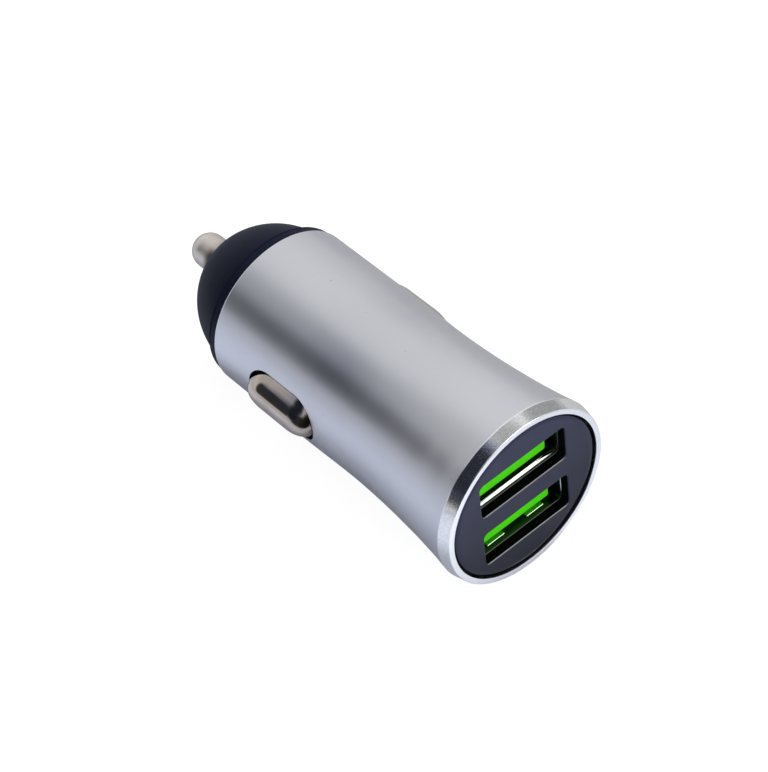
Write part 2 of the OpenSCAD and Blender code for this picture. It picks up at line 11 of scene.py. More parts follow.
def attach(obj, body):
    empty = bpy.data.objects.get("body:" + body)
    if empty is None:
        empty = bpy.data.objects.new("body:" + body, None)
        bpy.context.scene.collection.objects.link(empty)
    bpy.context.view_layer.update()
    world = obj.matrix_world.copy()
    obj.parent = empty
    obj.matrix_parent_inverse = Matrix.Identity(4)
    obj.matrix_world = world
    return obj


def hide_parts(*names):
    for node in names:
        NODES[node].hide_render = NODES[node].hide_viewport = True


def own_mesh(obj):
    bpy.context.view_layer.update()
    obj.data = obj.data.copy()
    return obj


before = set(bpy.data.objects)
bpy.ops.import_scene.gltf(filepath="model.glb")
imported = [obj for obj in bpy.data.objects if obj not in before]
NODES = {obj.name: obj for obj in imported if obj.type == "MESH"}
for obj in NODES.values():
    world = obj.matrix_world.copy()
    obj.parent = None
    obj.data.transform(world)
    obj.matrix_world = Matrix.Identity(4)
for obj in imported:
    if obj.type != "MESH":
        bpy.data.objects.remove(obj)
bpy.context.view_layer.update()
MM = 0.001

# Sizes in millimetres, as the CAD model has them
FRONT_Y = -20.0
RIM_R = 11.54
BEVEL_R = 11.858
BEVEL_Y = -18.4
MOUTH_R = 10.8
BARREL_R = 10.45
BORE_R = 9.4
BARREL_END_Y = 22.2
PLATE_R = 10.68
PLATE_Y = -19.8
PLATE_BACK_Y = -17.6
PORT_FRONT_Y = -18.6
PORT_Z = 4.03
PORT_W = 12.5
PORT_H = 4.9
PORT_BACK_Y = -5.5
WINDOW_Y = 10.2
WINDOW_END = 2.3
WINDOW_HALF_W = 3.3
CONTACT_HALF_W = 3.08
CONTACT_END_W = 3.24
CONTACT_REACH = 11.95
FLANGE_SEAT = 8.25
TONGUE_FRONT_Y = -17.75
TONGUE_HALF_W = 5.15
BLOCK_FRONT_Y = -9.5
DOME_R = 9.54
DOME_Y = 22.65
DOME_LEN = 10.8
COLLAR_R = 10.25
COLLAR_END_Y = 23.6
SPIGOT_R = 9.35
TIP_HOLE_R = 2.33
TIP_R = 2.25
TIP_BALL_Y = 35.75


# Camera, found from the photograph's outlines
def place_camera():
    place = Vector((-137.939, -184.847, 254.724))
    view_x = Vector((0.74578514, -0.66063632, -0.08581478))
    back = Vector((-0.39896029, -0.5460694, 0.73664028))
    view_y = back.cross(view_x)
    pixels_away = 3000.0
    picture_height = 772.0
    data = bpy.data.cameras.new("camera")
    data.sensor_width = 36.0
    data.lens = pixels_away * data.sensor_width / picture_height
    data.clip_start = 0.01
    data.clip_end = 50.0
    camera = bpy.data.objects.new("camera", data)
    turn = Matrix((view_x, view_y, back)).transposed().to_4x4()
    camera.matrix_world = Matrix.Translation(place * MM) @ turn
    bpy.context.scene.collection.objects.link(camera)
    bpy.context.scene.camera = camera
    bpy.context.scene.view_settings.view_transform = "Standard"


# Node helpers
class Tree:
    """A short way to write a node tree."""

    def __init__(self, tree):
        self.tree = tree
        tree.nodes.clear()

    def add(self, kind, inputs=None, **settings):
        node = self.tree.nodes.new(kind)
        for key, value in settings.items():
            setattr(node, key, value)
        for key, value in (inputs or {}).items():
            self.feed(node.inputs[key], value)
        return node

    def feed(self, socket, value):
        if isinstance(value, bpy.types.NodeSocket):
            self.tree.links.new(value, socket)
        else:
            socket.default_value = value

    def math(self, operation, a, b):
        return self.add("ShaderNodeMath", {0: a, 1: b}, operation=operation).outputs[0]

    def ramp(self, value, low, high, to_low=0.0, to_high=1.0):
        limits = {"From Min": low, "From Max": high, "To Min": to_low, "To Max": to_high}
        node = self.add(
            "ShaderNodeMapRange", {"Value": value, **limits}, interpolation_type="SMOOTHSTEP",
        )
        return node.outputs["Result"]

    def mix(self, factor, a, b):
        node = self.add("ShaderNodeMix", data_type="RGBA")
        self.feed(node.inputs[0], factor)
        self.feed(node.inputs[6], a)
        self.feed(node.inputs[7], b)
        return node.outputs[2]

    def noise(self, where, scale, detail=2.0, rough=0.5):
        node = self.add(
            "ShaderNodeTexNoise",
            {"Vector": where, "Scale": scale, "Detail": detail, "Roughness": rough},
        )
        return node.outputs["Fac"]

    def bump(self, height, distance, strength):
        inputs = {"Height": height, "Distance": distance, "Strength": strength}
        return self.add("ShaderNodeBump", inputs).outputs["Normal"]

    def place(self, where):
        return self.add("ShaderNodeSeparateXYZ", {0: where}).outputs

    def stretch(self, where, scale):
        return self.add("ShaderNodeMapping", {"Vector": where, "Scale": scale}).outputs[0]


def rgb(r, g, b):
    return (r, g, b, 1.0)


def start_material(name):
    material = bpy.data.materials.new(name)
    material.use_nodes = True
    tree = Tree(material.node_tree)
    where = tree.add("ShaderNodeTexCoord").outputs["Object"]
    return material, tree, where


def end_material(tree, **sockets):
    shader = tree.add("ShaderNodeBsdfPrincipled")
    for name, value in sockets.items():
        tree.feed(shader.inputs[name.replace("_", " ")], value)
    out = tree.add("ShaderNodeOutputMaterial")
    tree.tree.links.new(shader.outputs[0], out.inputs["Surface"])


# Materials
def satin_aluminium():
    """Blasted and anodised: a fine grain, faint turning marks, a few specks, worn edges."""
    material, t, where = start_material("satin_aluminium")
    y = t.place(where)["Y"]
    cloud = t.noise(where, 120.0, 3.0)
    grain = t.noise(where, 9000.0, 2.0, 0.6)
    specks = t.ramp(t.noise(where, 1500.0, 1.0), 0.79, 0.82)
    rear = t.ramp(y, 0.02195, 0.02215)
    front = t.math("MULTIPLY", t.ramp(y, -0.0181, -0.01836), t.ramp(cloud, 0.3, 0.7))
    wear = t.math("MAXIMUM", rear, front)
    base = t.mix(t.ramp(cloud, 0.25, 0.75), rgb(0.60, 0.61, 0.655), rgb(0.64, 0.65, 0.69))
    base = t.mix(t.math("MULTIPLY", grain, 0.12), base, rgb(0.40, 0.41, 0.46))
    base = t.mix(t.math("MULTIPLY", specks, 0.5), base, rgb(0.35, 0.36, 0.40))
    base = t.mix(t.math("MULTIPLY", wear, 0.5), base, rgb(0.86, 0.87, 0.89))
    rough = t.math("ADD", t.math("MULTIPLY", cloud, 0.08), 0.29)
    rough = t.math("SUBTRACT", rough, t.math("MULTIPLY", wear, 0.1))
    turning = t.noise(t.stretch(where, (1, 4000, 1)), 1.0)
    height = t.math("ADD", t.math("MULTIPLY", grain, 0.6), t.math("MULTIPLY", turning, 0.25))
    end_material(
        t, Base_Color=base, Metallic=1.0, Roughness=rough,
        Normal=t.bump(height, 0.00001, 0.35),
    )
    return material


def cut_aluminium():
    """Machined after anodising: bright, with a sparkling grain."""
    material, t, where = start_material("cut_aluminium")
    cells = t.add("ShaderNodeTexVoronoi", {"Vector": where, "Scale": 8000.0}).outputs["Color"]
    sparkle = t.add("ShaderNodeSeparateColor", {0: cells}).outputs[0]
    grain = t.noise(where, 5200.0, 3.0, 0.7)
    base = t.mix(sparkle, rgb(0.72, 0.73, 0.74), rgb(0.92, 0.93, 0.94))
    rough = t.math("ADD", t.math("MULTIPLY", sparkle, 0.08), 0.12)
    height = t.math("ADD", t.math("MULTIPLY", sparkle, 0.4), t.math("MULTIPLY", grain, 0.4))
    end_material(
        t, Base_Color=base, Metallic=1.0, Roughness=rough,
        Normal=t.bump(height, 0.000005, 0.4),
    )
    return material


def nickel(name, dullness, low, high, painted_shade_at):
    """Bright plating with hairline scratches and a warm tint. The last argument says where painted
    shade darkens it.
    """
    material, t, where = start_material(name)
    cloud = t.noise(where, 500.0, 3.0)
    scratch = t.ramp(t.noise(t.stretch(where, (900, 90, 900)), 4.0, 3.0, 0.7), 0.62, 0.72)
    base = t.mix(t.ramp(cloud, 0.3, 0.7), rgb(*low), rgb(*high))
    # painted shade: dark brown where the last argument's mask says
    base = t.mix(painted_shade_at(t, t.place(where)), base, rgb(0.07, 0.05, 0.04))
    rough = t.math("ADD", t.math("MULTIPLY", cloud, 0.08), dullness)
    rough = t.math("ADD", rough, t.math("MULTIPLY", scratch, 0.08))
    end_material(
        t, Base_Color=base, Metallic=1.0, Roughness=rough,
        Normal=t.bump(scratch, 0.000003, 0.4),
    )
    return material


def contact_painted_shade(t, place):
    """Painted shade at the front end of a side contact, on the upper side."""
    return t.math("MULTIPLY", t.ramp(place["Y"], 0.0064, 0.0050), t.ramp(place["Z"], 0.0, 0.0012))


def tip_painted_shade(t, place):
    """Painted shade where the tip meets the dome, standing for the dome's dark reflection, most of
    all at the left.
    """
    side = t.ramp(place["X"], -0.0004, -0.0014, 0.3, 0.9)
    return t.math("MULTIPLY", t.ramp(place["Y"], 0.0348, 0.0336), side)


def moulded(
    name, dark, light, rough_low, rough_high, grain_scale, grain_depth, shine=0.5, bending=1.5,
):
    """Moulded plastic with a fine texture and slight cloudiness."""
    material, t, where = start_material(name)
    cloud = t.noise(where, 260.0, 3.0)
    grain = t.noise(where, grain_scale, 2.0, 0.6)
    base = t.mix(t.ramp(cloud, 0.25, 0.75), rgb(*dark), rgb(*light))
    rough = t.math("ADD", t.math("MULTIPLY", cloud, rough_high - rough_low), rough_low)
    end_material(
        t, Base_Color=base, Roughness=rough, Specular_IOR_Level=shine, IOR=bending,
        Normal=t.bump(grain, grain_depth, 0.5),
    )
    return material


def face_plastic():
    """Slate plastic with a fine texture, and painted shade that makes it much darker towards the
    bottom.
    """
    material, t, where = start_material("face_plastic")
    cloud = t.noise(where, 260.0, 3.0)
    grain = t.noise(where, 5200.0, 2.0, 0.6)
    height = t.place(where)["Z"]
    # painted shade: the low colour, used at the bottom, is a shaded copy of the high one
    low = t.mix(t.ramp(cloud, 0.25, 0.75), rgb(0.003, 0.004, 0.012), rgb(0.005, 0.006, 0.016))
    high = t.mix(t.ramp(cloud, 0.25, 0.75), rgb(0.023, 0.026, 0.056), rgb(0.030, 0.034, 0.070))
    base = t.mix(t.ramp(height, -0.011, 0.011), low, high)
    rough = t.math("ADD", t.math("MULTIPLY", cloud, 0.1), 0.3)
    end_material(
        t, Base_Color=base, Roughness=rough, Specular_IOR_Level=0.17,
        Normal=t.bump(grain, 0.000008, 0.5),
    )
    return material


def nose_plastic():
    """Dark blue plastic with a fine texture, rubbed dull along the collar's rear edge."""
    material, t, where = start_material("nose_plastic")
    along = t.place(where)["Y"]
    cloud = t.noise(where, 260.0, 3.0)
    grain = t.noise(where, 4200.0, 2.0, 0.6)
    rubbed = t.math("MULTIPLY", t.ramp(along, 0.0229, 0.0232), t.ramp(along, 0.0242, 0.0238))
    base = t.mix(t.ramp(cloud, 0.25, 0.75), rgb(0.004, 0.006, 0.016), rgb(0.007, 0.009, 0.023))
    rough = t.math("ADD", t.math("MULTIPLY", cloud, 0.1), 0.42)
    rough = t.math("MAXIMUM", rough, rubbed)
    end_material(
        t, Base_Color=base, Roughness=rough, Specular_IOR_Level=0.08,
        Normal=t.bump(grain, 0.000008, 0.5),
    )
    return material


def lime_plastic():
    """Bright nylon, with a painted glow at the front and painted shade that makes it near black
    further in.
    """
    material, t, where = start_material("lime_plastic")
    depth = t.place(where)["Y"]
    inside = t.ramp(depth, -0.0175, -0.0162)
    cloud = t.noise(where, 700.0, 2.0)
    grain = t.noise(where, 6000.0, 2.0)
    base = t.mix(cloud, rgb(0.055, 0.55, 0.0), rgb(0.08, 0.66, 0.002))
    # painted shade: near black further into the port
    base = t.mix(inside, base, rgb(0.002, 0.012, 0.001))
    rough = t.math("ADD", t.math("MULTIPLY", grain, 0.15), 0.4)
    # painted glow at the front, fading further in
    glow = t.ramp(inside, 0.0, 0.5, 0.19, 0.0)
    end_material(
        t, Base_Color=base, Roughness=rough, Specular_IOR_Level=0.2,
        Emission_Color=rgb(0.05, 0.8, 0.0), Emission_Strength=glow,
        Normal=t.bump(grain, 0.000004, 0.4),
    )
    return material


def metal(name, dark, light, rough, scale=1800.0, depth=0.000004):
    """Plain metal with rolling marks along Y."""
    material, t, where = start_material(name)
    lines = t.noise(t.stretch(where, (1, 0.06, 1)), scale, 3.0, 0.6)
    cloud = t.noise(where, 400.0, 2.0)
    base = t.mix(lines, rgb(*dark), rgb(*light))
    roughness = t.math("ADD", t.math("MULTIPLY", cloud, 0.1), rough)
    end_material(
        t, Base_Color=base, Metallic=1.0, Roughness=roughness,
        Normal=t.bump(lines, depth, 0.4),
    )
    return material


def circuit_board():
    """Green solder mask with traces that show through it."""
    material, t, where = start_material("circuit_board")
    cells = t.add(
        "ShaderNodeTexVoronoi", {"Vector": where, "Scale": 700.0, "Randomness": 0.6},
        distance="CHEBYCHEV", feature="F1",
    ).outputs["Distance"]
    traces = t.ramp(cells, 0.3, 0.34)
    base = t.mix(traces, rgb(0.006, 0.075, 0.03), rgb(0.02, 0.15, 0.06))
    grain = t.noise(where, 3000.0, 2.0)
    end_material(
        t, Base_Color=base, Roughness=t.math("ADD", t.math("MULTIPLY", grain, 0.15), 0.25),
        Normal=t.bump(traces, 0.00002, 0.5),
    )
    return material


# Mesh helpers
def mesh_object(name, points, faces, materials, face_material=None, sharp=50.0):
    mesh = bpy.data.meshes.new(name)
    mesh.from_pydata([[c * MM for c in p] for p in points], [], faces)
    for material in materials:
        mesh.materials.append(material)
    if face_material:
        mesh.polygons.foreach_set("material_index", face_material)
    mesh.validate()
    mesh.update()
    mesh.shade_smooth()
    mesh.set_sharp_from_angle(angle=math.radians(sharp))
    thing = bpy.data.objects.new(name, mesh)
    bpy.context.scene.collection.objects.link(thing)
    return thing


def rounded(corners, support=0.06, steps=5):
    """An open path of (a, b, radius) corners as points, with its inner corners rounded.

    A point close to each end of a rounded corner keeps the shading of the flats level.
    """
    path = []
    last = len(corners) - 1
    for i, (a, b, radius) in enumerate(corners):
        if radius <= 0 or i in (0, last):
            path.append((a, b))
            continue
        corner = Vector((a, b))
        before = Vector(corners[i - 1][:2]) - corner
        after = Vector(corners[i + 1][:2]) - corner
        half = before.angle(after) / 2
        reach = radius / math.tan(half)
        start = corner + before.normalized() * reach
        end = corner + after.normalized() * reach
        inwards = (before.normalized() + after.normalized()).normalized()
        middle = corner + inwards * (radius / math.sin(half))
        if before.length > reach + 3 * support:
            path.append(tuple(start + before.normalized() * support))
        first = start - middle
        turn = first.angle_signed(end - middle)
        for k in range(steps + 1):
            angle = -turn * k / steps
            path.append((
                middle.x + first.x * math.cos(angle) - first.y * math.sin(angle),
                middle.y + first.x * math.sin(angle) + first.y * math.cos(angle),
            ))
        if after.length > reach + 3 * support:
            path.append(tuple(end + after.normalized() * support))
    return path


def on_axis(radius, y, angle):
    return (radius * math.cos(angle), y, radius * math.sin(angle))


def turned(name, path, material, segments=160, closed=True):
    """A turned piece from a path of (radius, y). An open path runs from the axis to the axis."""
    points = []
    rings = []
    for radius, y in path:
        if radius < 1e-6:
            rings.append([len(points)])
            points.append((0.0, y, 0.0))
            continue
        rings.append(list(range(len(points), len(points) + segments)))
        points += [on_axis(radius, y, 2 * math.pi * k / segments) for k in range(segments)]
    pairs = list(zip(rings, rings[1:])) + ([(rings[-1], rings[0])] if closed else [])
    faces = []
    for low, high in pairs:
        for k in range(segments):
            n = (k + 1) % segments
            if len(low) == 1:
                faces.append((low[0], high[n], high[k]))
            elif len(high) == 1:
                faces.append((low[k], low[n], high[0]))
            else:
                faces.append((low[k], low[n], high[n], high[k]))
    return mesh_object(name, points, faces, [material])


def flip_out(thing):
    """Turns a closed mesh's faces outwards."""
    mesh = thing.data
    volume = 0.0
    mesh.calc_loop_triangles()
    for tri in mesh.loop_triangles:
        a, b, c = (mesh.vertices[i].co for i in tri.vertices)
        volume += a.dot(b.cross(c))
    if volume < 0:
        mesh.flip_normals()
    return thing


class Loops:
    """Builds a mesh from loops of equally many points."""

    def __init__(self):
        self.points = []
        self.faces = []

    def loop(self, points):
        start = len(self.points)
        self.points += points
        return list(range(start, len(self.points)))

    def join(self, a, b):
        count = len(a)
        for k in range(count):
            n = (k + 1) % count
            self.faces.append((a[k], a[n], b[n], b[k]))

    def chain(self, loops):
        made = [self.loop(points) for points in loops]
        for a, b in zip(made, made[1:]):
            self.join(a, b)
        return made

    def fill(self, *loops):
        """Closes a loop with a flat face. Further loops are holes in it."""
        flat = [[Vector(self.points[i]) for i in loop] for loop in loops]
        index = [i for loop in loops for i in loop]
        self.faces += [tuple(index[i] for i in tri) for tri in tessellate_polygon(flat)]


def round_rect(w, h, r, steps=6):
    """Points of a rectangle with round corners, in order, about the origin."""
    points = []
    for cx, cz, start in ((1, 1, 0), (-1, 1, 90), (-1, -1, 180), (1, -1, 270)):
        for k in range(steps + 1):
            angle = math.radians(start + 90.0 * k / steps)
            points.append((
                cx * (w / 2 - r) + r * math.cos(angle),
                cz * (h / 2 - r) + r * math.sin(angle),
            ))
    return points


def stadium(cy, end, radius, count):
    """Points of a stadium along Y, as (y, z): two half circles about cy - end and cy + end."""
    points = []
    for side, start in ((1, -90), (-1, 90)):
        for k in range(count + 1):
            angle = math.radians(start + 180.0 * k / count)
            points.append((cy + side * end + radius * math.cos(angle), radius * math.sin(angle)))
    return points


# The barrel, whose profile is (y, radius)
PROFILE = (
    (BEVEL_Y, BEVEL_R), (-18.2, 11.83), (-17.0, 11.62), (-16.0, 11.46), (-14.0, 11.20),
    (-12.5, 11.02), (-10.0, 10.79), (-8.0, 10.62), (-5.0, 10.44), (-2.0, 10.33), (0.0, 10.31),
    (2.0, 10.33), (4.0, 10.37), (7.0, 10.42), (10.0, BARREL_R), (BARREL_END_Y, BARREL_R),
)


def barrel_radius(y):
    """A smooth curve through the profile."""
    for i in range(len(PROFILE) - 1):
        (y0, r0), (y1, r1) = PROFILE[i], PROFILE[i + 1]
        if y <= y1:
            break

    def slope(k):
        if k in (0, len(PROFILE) - 1):
            return 0.0 if k else -0.17
        (ya, ra), (yb, rb) = PROFILE[k - 1], PROFILE[k + 1]
        return (rb - ra) / (yb - ya)

    step = y1 - y0
    t = min(max((y - y0) / step, 0.0), 1.0)
    s0, s1 = slope(i) * step, slope(i + 1) * step
    if i == len(PROFILE) - 2:
        s0 = s1 = 0.0
    if i == len(PROFILE) - 3:
        s1 = 0.0
    return (
        r0 * (2 * t ** 3 - 3 * t ** 2 + 1) + s0 * (t ** 3 - 2 * t ** 2 + t)
        + r1 * (3 * t ** 2 - 2 * t ** 3) + s1 * (t ** 3 - t ** 2)
    )


def build_barrel(materials):
    """A grid of rows and columns. A window is a block left out, with loops up to its edge."""
    columns = 192
    reach = 12  # columns of the block on each side of a window's middle
    rows_in_window = 44
    y_low, y_high = 3.6, 16.8
    window_ys = [y_low + (y_high - y_low) * k / rows_in_window for k in range(rows_in_window + 1)]
    edge = 0.08  # radius of the windows' edges
    satin, cut, rim, inside = range(4)
    rim_rows = 10
    outer_front = [BEVEL_Y + (y_low - BEVEL_Y) * k / 44 for k in range(1, 44)]
    outer_back = [y_high + (21.9 - y_high) * k / 8 for k in range(1, 9)]
    rows = [
        (MOUTH_R, PLATE_BACK_Y), (MOUTH_R, -18.6),
        (MOUTH_R, FRONT_Y + 0.16), (MOUTH_R, FRONT_Y + 0.1),
        (MOUTH_R + 0.03, FRONT_Y + 0.03), (MOUTH_R + 0.1, FRONT_Y), (MOUTH_R + 0.16, FRONT_Y),
        (RIM_R - 0.16, FRONT_Y), (RIM_R - 0.1, FRONT_Y), (RIM_R - 0.03, FRONT_Y + 0.025),
        (RIM_R + 0.015, FRONT_Y + 0.09), (RIM_R + 0.03, FRONT_Y + 0.16),
        (BEVEL_R - 0.03, BEVEL_Y - 0.15), (BEVEL_R - 0.01, BEVEL_Y - 0.05), (BEVEL_R, BEVEL_Y),
        (BEVEL_R - 0.012, BEVEL_Y + 0.08),
    ]
    cut_rows = len(rows) - 1
    rows += [(barrel_radius(y), y) for y in outer_front if y > BEVEL_Y + 0.1]
    first_window = len(rows)
    rows += [(barrel_radius(y), y) for y in window_ys]
    last_window = len(rows) - 1
    rows += [(barrel_radius(y), y) for y in outer_back]
    rows += [
        (BARREL_R, BARREL_END_Y - 0.2), (BARREL_R - 0.02, BARREL_END_Y - 0.13),
        (BARREL_R - 0.08, BARREL_END_Y - 0.05), (BARREL_R - 0.15, BARREL_END_Y),
        (BARREL_R - 0.22, BARREL_END_Y), (BORE_R + 0.1, BARREL_END_Y),
        (BORE_R, BARREL_END_Y - 0.1), (BORE_R, 19.0),
    ]
    first_inner = len(rows)
    rows += [(BORE_R, y) for y in reversed(window_ys)]
    last_inner = len(rows) - 1
    rows += [(BORE_R, -9.0), (10.2, -13.0), (10.2, PLATE_BACK_Y), (10.3, PLATE_BACK_Y)]
    angles = [2 * math.pi * k / columns for k in range(columns)]
    points = [on_axis(r, y, a) for r, y in rows for a in angles]
    faces = []
    slots = []

    def vertex(row, column):
        return (row % len(rows)) * columns + column % columns

    def in_window(row, column):
        near = min(column, columns - 1 - column) < reach
        far = abs(column - columns // 2 + 0.5) < reach
        skin = first_window <= row < last_window or first_inner <= row < last_inner
        return skin and (near or far)

    for row in range(len(rows)):
        for column in range(columns):
            if in_window(row, column):
                continue
            faces.append((
                vertex(row, column), vertex(row, column + 1),
                vertex(row + 1, column + 1), vertex(row + 1, column),
            ))
            slots.append(rim if row < rim_rows else cut if row < cut_rows else satin)

    def border(first, last, middle):
        """Vertices round a window's hole, from the grid row first to the grid row last."""
        step = 1 if last > first else -1
        cells = [(first, middle + c) for c in range(-reach, reach)]
        cells += [(r, middle + reach) for r in range(first, last, step)]
        cells += [(last, middle + c) for c in range(reach, -reach, -1)]
        cells += [(r, middle - reach) for r in range(last, first, -step)]
        return [vertex(*cell) for cell in cells]

    def between(spot, share, grow):
        """A place part of the way from a grid place to the window's edge."""
        y, z = spot
        centre = WINDOW_Y + min(max(y - WINDOW_Y, -WINDOW_END), WINDOW_END)
        scale = (WINDOW_HALF_W + grow) / math.hypot(y - centre, z)
        return (y + (centre + (y - centre) * scale - y) * share, z + (z * scale - z) * share)

    def add_loop(spots, side, radius_of):
        start = len(points)
        for y, z in spots:
            points.append((side * math.sqrt(radius_of(y) ** 2 - z * z), y, z))
        return list(range(start, len(points)))

    # share of the way to the edge, how far outside it, and how far from the barrel's surface
    outer_rings = (
        (0.3, 0.0, 0.0), (0.6, 0.0, 0.0), (0.85, 0.0, 0.0),
        (1.0, edge + 0.06, 0.0), (1.0, edge, 0.0),
        (1.0, edge * 0.3, -edge * 0.3), (1.0, 0.0, -edge), (1.0, 0.0, -edge - 0.06),
    )
    for side, middle in ((1, 0), (-1, columns // 2)):
        loops = [border(first_window, last_window, middle)]
        spots = [points[i][1:] for i in loops[0]]
        for share, grow, drop in outer_rings:
            ring = [between(spot, share, grow) for spot in spots]
            loops.append(add_loop(ring, side, lambda y, d=drop: barrel_radius(y) + d))
        inner = border(last_inner, first_inner, middle)
        spots = [points[i][1:] for i in inner]
        for share in (1.0, 0.7, 0.35):
            ring = [between(spot, share, 0.0) for spot in spots]
            loops.append(add_loop(ring, side, lambda y: BORE_R))
        loops.append(inner)
        for row, (low, high) in enumerate(zip(loops, loops[1:])):
            for k in range(len(low)):
                n = (k + 1) % len(low)
                faces.append((low[k], low[n], high[n], high[k]))
                # the window's wall gets the near-black inside material, which is painted shade
                slots.append(inside if 6 <= row <= len(outer_rings) else satin)
    return mesh_object("barrel", points, faces, materials, slots, sharp=40.0)


# The face plate
def build_face_plate(materials):
    """The plate in the barrel's mouth, with soft edges and a slot for each port."""
    build = Loops()
    slots = []
    face, shiny, dark = range(3)
    segments = 160
    edge = 0.8
    lip = 0.12
    slot_gap = 0.13  # between a slot's wall and the opening of its port
    seat_gap = 0.36  # the same, behind the port shell's front

    def ring(radius, y):
        return [on_axis(radius, y, 2 * math.pi * k / segments) for k in range(segments)]

    def slot(z, grow, y):
        outline = round_rect(PORT_W + 2 * grow, PORT_H + 2 * grow, 0.5 + grow)
        return [(x, y, z + dz) for x, dz in outline]

    soft = []
    for k in range(9):
        angle = math.pi / 2 * k / 8
        radius = PLATE_R - edge + edge * math.sin(angle)
        soft.append((radius, PLATE_Y + edge * 0.5 * (1 - math.cos(angle))))
    path = [(PLATE_R - edge - 0.1, PLATE_Y)] + soft + [(PLATE_R, -19.3), (PLATE_R, PLATE_BACK_Y)]
    made = build.chain([ring(r, y) for r, y in path])
    # The outer part of the soft edge and the plate's side get the near-black slot material: painted
    # shade.
    painted_shade_from = 5
    slots += [face] * (painted_shade_from * segments) + [dark] * (len(build.faces) - painted_shade_from * segments)
    fronts = []
    backs = []
    for z in (-PORT_Z, PORT_Z):
        steps = [(slot_gap + lip + 0.08, PLATE_Y), (slot_gap + lip, PLATE_Y)]
        for k in range(1, 5):
            angle = math.pi / 2 * k / 4
            grow = slot_gap + lip * (1 - math.sin(angle))
            steps.append((grow, PLATE_Y + lip * (1 - math.cos(angle))))
        steps += [(slot_gap, PLATE_Y + lip + 0.06), (slot_gap, PORT_FRONT_Y)]
        steps += [(seat_gap, PORT_FRONT_Y), (seat_gap, PLATE_BACK_Y)]
        loops = build.chain([slot(z, grow, y) for grow, y in steps])
        round_one = len(loops[0])
        lower_edge = [shiny if 17 <= k <= 23 else face for k in range(round_one)]
        # The slot walls and seats get the near-black slot material: painted shade.
        slots += [face] * round_one + lower_edge * 4 + [dark] * (round_one * (len(loops) - 6))
        fronts.append(loops[0])
        backs.append(loops[-1])
    build.fill(made[0], *fronts)
    build.fill(made[-1], *backs)
    slots += [face] * (len(build.faces) - len(slots))
    return mesh_object("face_moulding", build.points, build.faces, materials, slots, sharp=40.0)


def consistent(thing):
    """Makes the faces of a closed mesh agree with each other and point outwards."""
    work = bmesh.new()
    work.from_mesh(thing.data)
    bmesh.ops.remove_doubles(work, verts=work.verts, dist=1e-7)
    bmesh.ops.recalc_face_normals(work, faces=work.faces)
    work.to_mesh(thing.data)
    work.free()
    return flip_out(thing)


# Ports
# The bars that lie across the ports' floors: their crest as (y, height), and each one's ends in x
BEAD_CREST = (
    (-18.33, -0.02), (-18.31, 0.05), (-18.28, 0.09),
    (-18.09, 0.27), (-18.03, 0.30), (-17.90, -0.02),
)
BEADS = ((-5.75, 6.1),)
TAB_CREST = (
    (-17.86, -0.02), (-17.85, 0.01), (-17.82, 0.04),
    (-17.77, 0.05), (-16.4, 0.28), (-15.0, -0.02),
)
TABS = ((-4.5, -1.75), (1.55, 4.3))


def build_port_shell(name, z, materials, crest, bars, bright_edge):
    """A steel shell with a rolled front edge, and bars with one crest across its floor."""
    build = Loops()
    steel, inside = range(2)
    wall = 0.3
    roll = 0.12

    def outline(grow, y):
        points = round_rect(PORT_W + 2 * grow, PORT_H + 2 * grow, 0.5 + grow)
        return [(x, y, z + dz) for x, dz in points]

    front = PORT_FRONT_Y
    path = [(0.0, PORT_BACK_Y), (0.0, front + 0.2), (0.0, front + roll)]
    for k in range(1, 5):
        angle = math.pi / 2 * k / 4
        path.append((roll * (1 - math.cos(angle)), front + roll * (1 - math.sin(angle))))
    path += [(0.22, front), (wall, front + 0.05), (wall, PORT_BACK_Y)]
    loops = build.chain([outline(grow, y) for grow, y in path])
    build.join(loops[-1], loops[0])
    round_one = len(loops[0])
    # The shell's walls get the near-black inside material, which is painted shade; the bars, and
    # with bright_edge the rolled edge's right end, stay bright steel.
    slots = [inside] * len(build.faces)
    if bright_edge:
        # the rolled front edge, where it turns down at the right
        for row in range(3, 6):
            slots[row * round_one + round_one - 1] = steel
    floor = z - PORT_H / 2
    for x0, x1 in bars:
        stations = (
            (x0, 0.0), (x0 + 0.05, 0.6), (x0 + 0.18, 1.0),
            (x1 - 0.18, 1.0), (x1 - 0.05, 0.6), (x1, 0.0),
        )
        sections = []
        for x, share in stations:
            narrow = share * (0.95 - 0.008 * x)
            sections.append([(x, y, floor + h * narrow if h > 0 else floor + h) for y, h in crest])
        made = build.chain(sections)
        build.fill(made[0])
        build.fill(made[-1])
    slots += [steel] * (len(build.faces) - len(slots))
    return mesh_object(name, build.points, build.faces, materials, slots, sharp=25.0)


